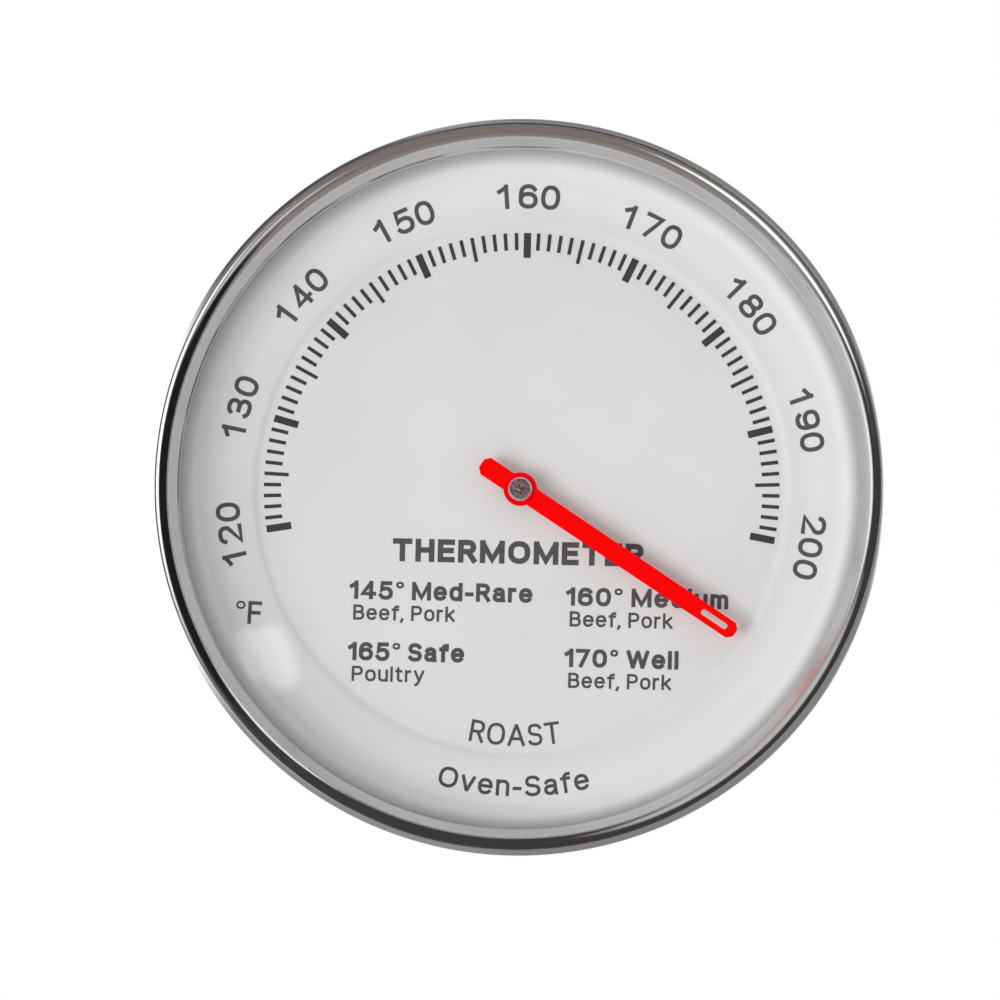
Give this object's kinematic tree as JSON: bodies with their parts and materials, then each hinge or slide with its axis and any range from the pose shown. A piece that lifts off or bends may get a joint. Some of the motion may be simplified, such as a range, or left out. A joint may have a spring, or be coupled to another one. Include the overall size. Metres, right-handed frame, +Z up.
{
  "type": "dial roasting thermometer",
  "caption": "Round glazed dial thermometer with a red pointer, a polished rolled bezel, a hex nut for setting the zero, and a long pointed stem that stays in the food in the oven.",
  "frame": {"origin": "on the stem's axis where the bare tube leaves the collar, at the head's end of the stem", "axes": "+Y along the stem from the head to the point, so the dial looks along -Y; +Z up through the middle of the scale; +X to the right as the dial is read"},
  "size_m": [0.073, 0.1345, 0.073],
  "materials": {
    "stem_steel": "drawn stainless tube, fine lengthwise brushing",
    "nut_steel": "turned stainless hexagon bar, satin",
    "case_steel": "drawn stainless sheet, satin",
    "bezel_steel": "mirror polished stainless",
    "lens_glass": "clear heat-resistant flat glass",
    "dial_silver": "satin silver lacquer",
    "dial_ink": "dark grey screen print",
    "pointer_red": "flat bright red enamel",
    "bush_bronze": "dull tinned bronze",
    "spindle_steel": "drawn wire, straw tinted end",
    "guide_brass": "turned brass",
    "bimetal_strip": "rolled bimetal strip",
    "spring_steel": "blank spring steel",
    "seal_rubber": "red-brown silicone rubber",
    "gasket_silicone": "milky silicone rubber",
    "washer_ptfe": "white PTFE"
  },
  "bodies": {
    "stem": {"stem_tube": "stem_steel", "stem_tip": "stem_steel", "stem_collar": "stem_steel", "calibration_nut": "nut_steel", "seal_washer": "seal_rubber", "spring_washer": "spring_steel", "upper_guide_bush": "guide_brass", "middle_guide_bush": "guide_brass", "lower_guide_bush": "guide_brass", "coil_anchor": "guide_brass", "bimetal_coil": "bimetal_strip"},
    "head": {"case_cup": "case_steel", "bezel_ring": "bezel_steel", "lens": "lens_glass", "lens_gasket": "gasket_silicone", "dial_plate": "dial_silver", "friction_washer": "washer_ptfe"},
    "pointer": {"pointer": "pointer_red", "pointer_bush": "bush_bronze", "spindle": "spindle_steel", "thrust_collar": "guide_brass", "coil_collar": "guide_brass"}
  },
  "joints": [
    {"name": "head_turn", "type": "hinge", "parent": "stem", "child": "head", "pos_m": [0, -0.0062, 0], "axis": [0, 1, 0], "continuous": true},
    {"name": "pointer_turn", "type": "hinge", "parent": "stem", "child": "pointer", "pos_m": [0, -0.0136, 0], "axis": [0, 1, 0], "range_deg": [-82.5, 367.5], "stiffness_Nm_per_rad": 0.0002}
  ]
}
